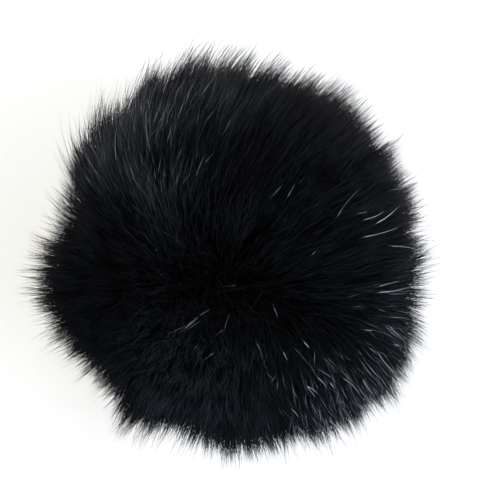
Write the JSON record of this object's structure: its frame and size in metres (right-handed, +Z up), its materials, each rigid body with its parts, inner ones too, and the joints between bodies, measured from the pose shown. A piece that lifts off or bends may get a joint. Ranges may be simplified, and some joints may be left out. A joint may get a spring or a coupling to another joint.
{
  "type": "fur pom pom",
  "caption": "Round black long-haired fur pom pom lying on its small flat underside, its pile parted at a whorl on top and combed to one side in curved locks.",
  "frame": {"origin": "middle of the small flat underneath that the pom pom lies on and is sewn by", "axes": "+Z up, from the flat underside to the whorl on top; +X to the right and +Y away, as the pom pom lies when seen from above, with the pile combed towards +X and +Y"},
  "size_m": [0.1198, 0.1206, 0.0974],
  "materials": {
    "black_fur": "dyed black long-haired fur, soft, glossy along the guard hairs"
  },
  "bodies": {
    "root": {"fur_ball": "black_fur"}
  },
  "joints": []
}
